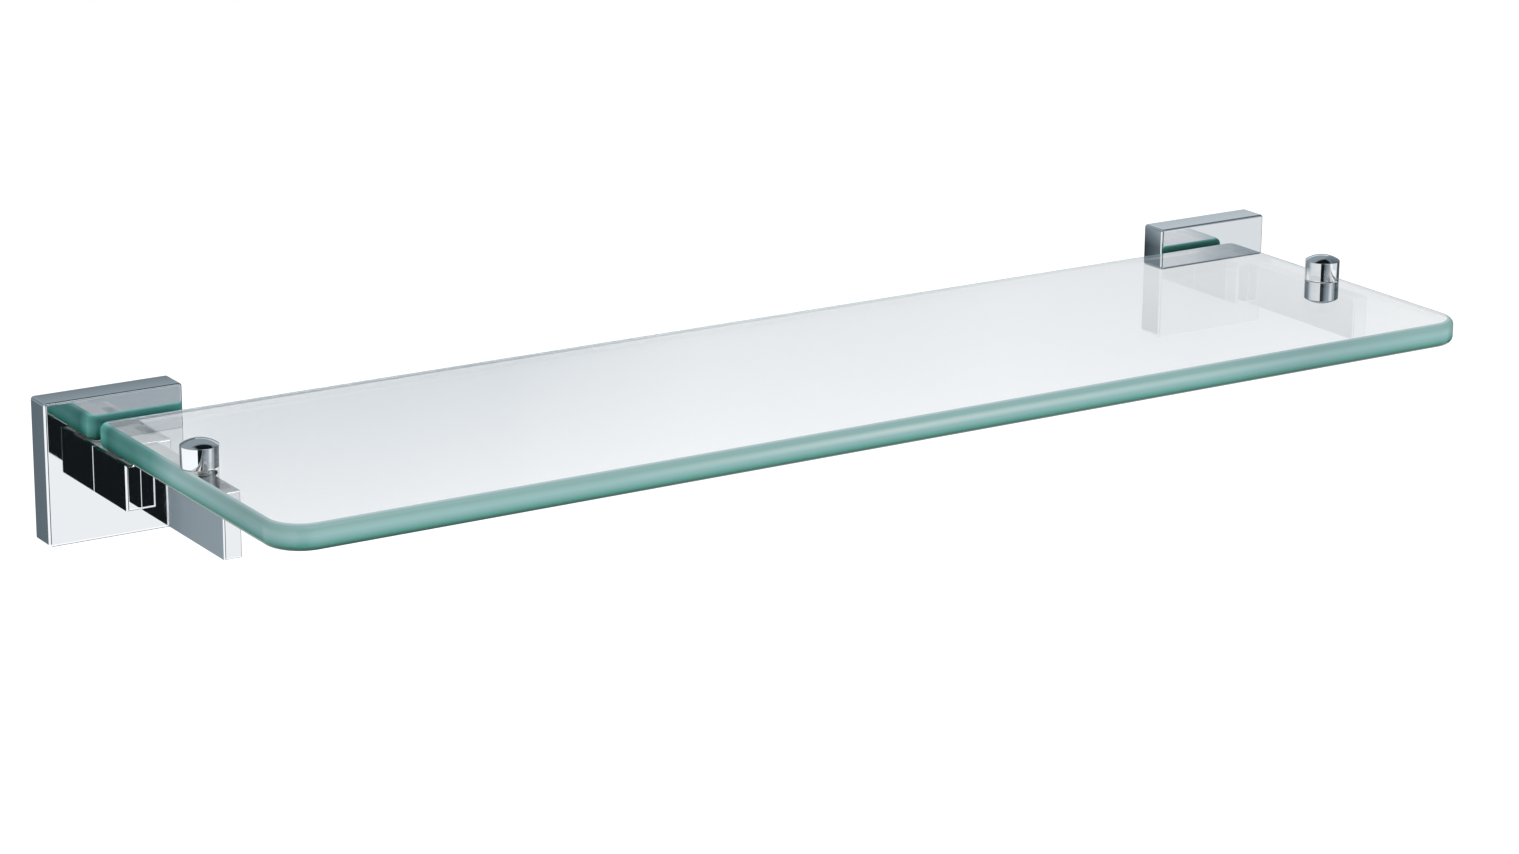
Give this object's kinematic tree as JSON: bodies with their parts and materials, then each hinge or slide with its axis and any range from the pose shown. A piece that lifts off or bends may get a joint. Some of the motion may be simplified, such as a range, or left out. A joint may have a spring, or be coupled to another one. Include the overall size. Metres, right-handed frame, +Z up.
{
  "type": "wall shelf",
  "caption": "Rectangular glass shelf on square-rosette chrome wall brackets, clamped at each end by a domed cap nut on a stud through the glass.",
  "frame": {"origin": "centre of the four wall screw holes, on the wall plane", "axes": "+X along the wall to the right as seen from the room, +Y into the wall, +Z up; the shelf stands out along -Y"},
  "size_m": [0.536, 0.157, 0.0534],
  "materials": {
    "chrome": "mirror polished chrome plate",
    "glass": "clear float glass, green at its polished pencil edge",
    "zinc_steel": "zinc plated pressed steel, hidden",
    "stainless": "plain turned stainless steel",
    "clear_film": "clear soft film",
    "clear_nylon": "natural nylon"
  },
  "bodies": {
    "root": {"left_wall_plate": "zinc_steel", "left_flange": "chrome", "left_post_block": "chrome", "left_arm": "chrome", "left_tie_screw": "stainless", "left_lock_washer": "stainless", "left_set_screw": "stainless", "left_stud": "stainless", "left_arm_washer": "clear_film", "left_glass_sleeve": "clear_nylon", "left_rest_pads": "clear_film", "right_wall_plate": "zinc_steel", "right_flange": "chrome", "right_post_block": "chrome", "right_arm": "chrome", "right_tie_screw": "stainless", "right_lock_washer": "stainless", "right_set_screw": "stainless", "right_stud": "stainless", "right_arm_washer": "clear_film", "right_glass_sleeve": "clear_nylon", "right_rest_pads": "clear_film", "glass_shelf": "glass"},
    "left_cap_lift": {"left_cap_washer": "clear_film"},
    "left_cap_turn": {"left_cap": "chrome"},
    "right_cap_lift": {"right_cap_washer": "clear_film"},
    "right_cap_turn": {"right_cap": "chrome"}
  },
  "joints": [
    {"name": "left_cap_rise", "type": "slide", "parent": "root", "child": "left_cap_lift", "axis": [0, 0, 1], "range_m": [0, 0.0056]},
    {"name": "left_cap_unscrew", "type": "hinge", "parent": "left_cap_lift", "child": "left_cap_turn", "pos_m": [-0.242, -0.08, 0.0177], "axis": [0, 0, 1], "range_deg": [0, 2880]},
    {"name": "right_cap_rise", "type": "slide", "parent": "root", "child": "right_cap_lift", "axis": [0, 0, 1], "range_m": [0, 0.0056]},
    {"name": "right_cap_unscrew", "type": "hinge", "parent": "right_cap_lift", "child": "right_cap_turn", "pos_m": [0.242, -0.08, 0.0177], "axis": [0, 0, 1], "range_deg": [0, 2880]}
  ],
  "couplings": [
    {"joint": "left_cap_rise", "follows": "left_cap_unscrew", "m_per_rad": 0.00011141},
    {"joint": "right_cap_rise", "follows": "right_cap_unscrew", "m_per_rad": 0.00011141}
  ]
}
